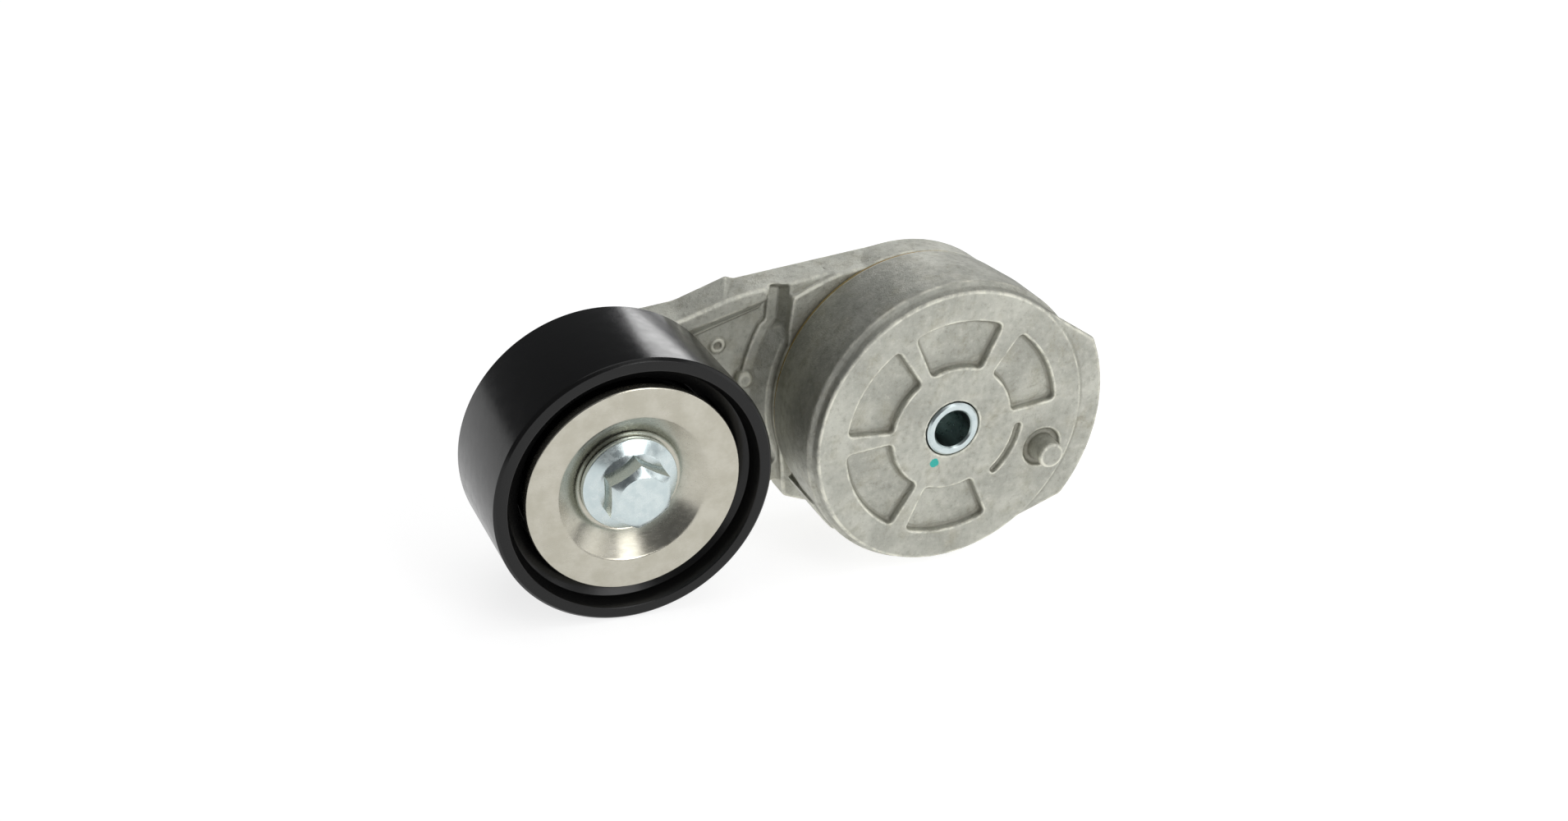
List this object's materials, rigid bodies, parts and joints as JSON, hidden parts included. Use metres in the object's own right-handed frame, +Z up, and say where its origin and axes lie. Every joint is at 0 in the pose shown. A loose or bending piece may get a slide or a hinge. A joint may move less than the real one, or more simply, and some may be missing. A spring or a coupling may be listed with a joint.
{
  "type": "belt tensioner idler",
  "caption": "Spring-loaded belt tensioner: a round cast case holds a pivoting cast arm that carries a smooth black idler pulley on a ball bearing, to keep a drive belt tight.",
  "frame": {"origin": "where the pivot axis crosses the mounting face, at the front of the sleeve that the pivot bolt goes through", "axes": "-Y out of the mounting face, along the pivot axis; the arm runs towards -X at the free-arm stop; +Z up"},
  "size_m": [0.1806, 0.0533, 0.086],
  "materials": {
    "cast_aluminium": "die-cast, lightly blasted, satin",
    "black_paint": "gloss black",
    "shield_steel": "pressed, semi-bright",
    "zinc_plate": "bright zinc with a blue tint",
    "bearing_steel": "ground and polished",
    "spring_steel": "dark oil-tempered",
    "amber_nylon": "plain moulded",
    "black_nylon": "plain moulded",
    "seal_rubber": "matt"
  },
  "bodies": {
    "case": {"spring_case": "cast_aluminium", "pivot_sleeve": "zinc_plate", "retaining_plate": "zinc_plate", "torsion_spring": "spring_steel"},
    "arm": {"tensioner_arm": "cast_aluminium", "pivot_bushing": "amber_nylon", "seam_ring": "amber_nylon", "thrust_washer": "amber_nylon", "damper_shoe": "black_nylon", "pulley_bolt": "zinc_plate", "dust_shield_front": "shield_steel", "dust_shield_rear": "shield_steel", "bearing_spacer": "zinc_plate", "bearing_inner_ring": "bearing_steel"},
    "pulley": {"pulley_shell": "black_paint", "bearing_circlip": "spring_steel", "bearing_outer_ring": "bearing_steel", "bearing_seal_front": "seal_rubber", "bearing_seal_rear": "seal_rubber"},
    "balls": {"ball_cage": "amber_nylon", "bearing_ball_1": "bearing_steel", "bearing_ball_2": "bearing_steel", "bearing_ball_3": "bearing_steel", "bearing_ball_4": "bearing_steel", "bearing_ball_5": "bearing_steel", "bearing_ball_6": "bearing_steel", "bearing_ball_7": "bearing_steel", "bearing_ball_8": "bearing_steel"}
  },
  "joints": [
    {"name": "arm_swing", "type": "hinge", "parent": "case", "child": "arm", "pos_m": [0, 0.024, 0], "axis": [0, 1, 0], "range_deg": [0, 60], "stiffness_Nm_per_rad": 16, "springref_deg": -51.57, "deforming": ["torsion_spring"]},
    {"name": "pulley_spin", "type": "hinge", "parent": "arm", "child": "pulley", "pos_m": [-0.09407, 0.01345, -0.005], "axis": [0, 1, 0], "continuous": true},
    {"name": "cage_spin", "type": "hinge", "parent": "arm", "child": "balls", "pos_m": [-0.09407, 0.01345, -0.005], "axis": [0, 1, 0], "continuous": true}
  ],
  "couplings": [
    {"joint": "cage_spin", "follows": "pulley_spin", "ratio": 0.625}
  ]
}
